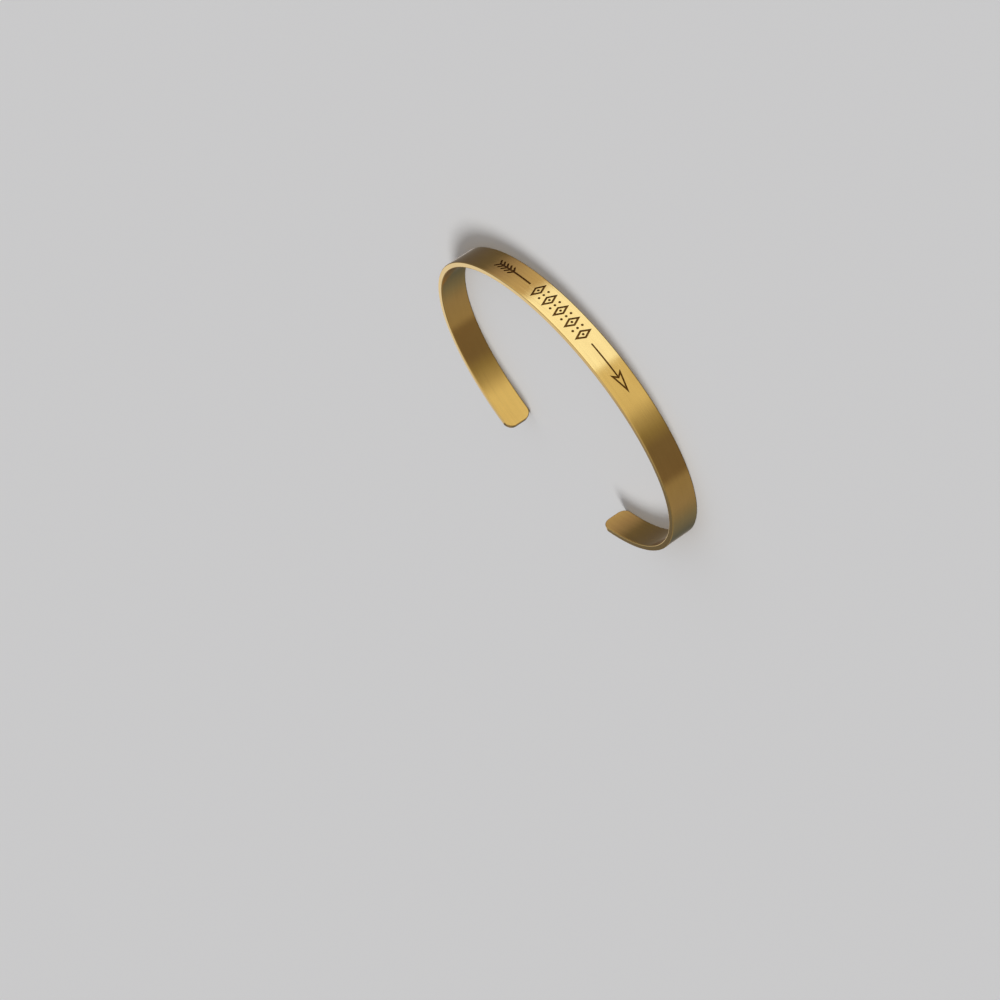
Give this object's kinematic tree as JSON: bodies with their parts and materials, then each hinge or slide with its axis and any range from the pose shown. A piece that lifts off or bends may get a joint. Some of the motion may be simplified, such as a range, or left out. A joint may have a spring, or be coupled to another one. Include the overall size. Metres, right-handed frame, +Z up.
{
  "type": "cuff bracelet",
  "caption": "Narrow gold-plated cuff bracelet: one strip bent to an open oval, engraved with an arrow and a row of lozenges. It is worn round the wrist.",
  "frame": {"origin": "on the resting surface, under the middle of the cuff's bounding box", "axes": "+Z up, out of the upper rim; +X along the oval's long axis, away from the arrow's tip; the engraved front faces -Y and the gap faces +Y"},
  "size_m": [0.061, 0.0438, 0.005],
  "materials": {
    "gold_plate": "gold plating on steel, satin polished, with dark engraved lines"
  },
  "bodies": {
    "root": {"cuff_band": "gold_plate"}
  },
  "joints": []
}
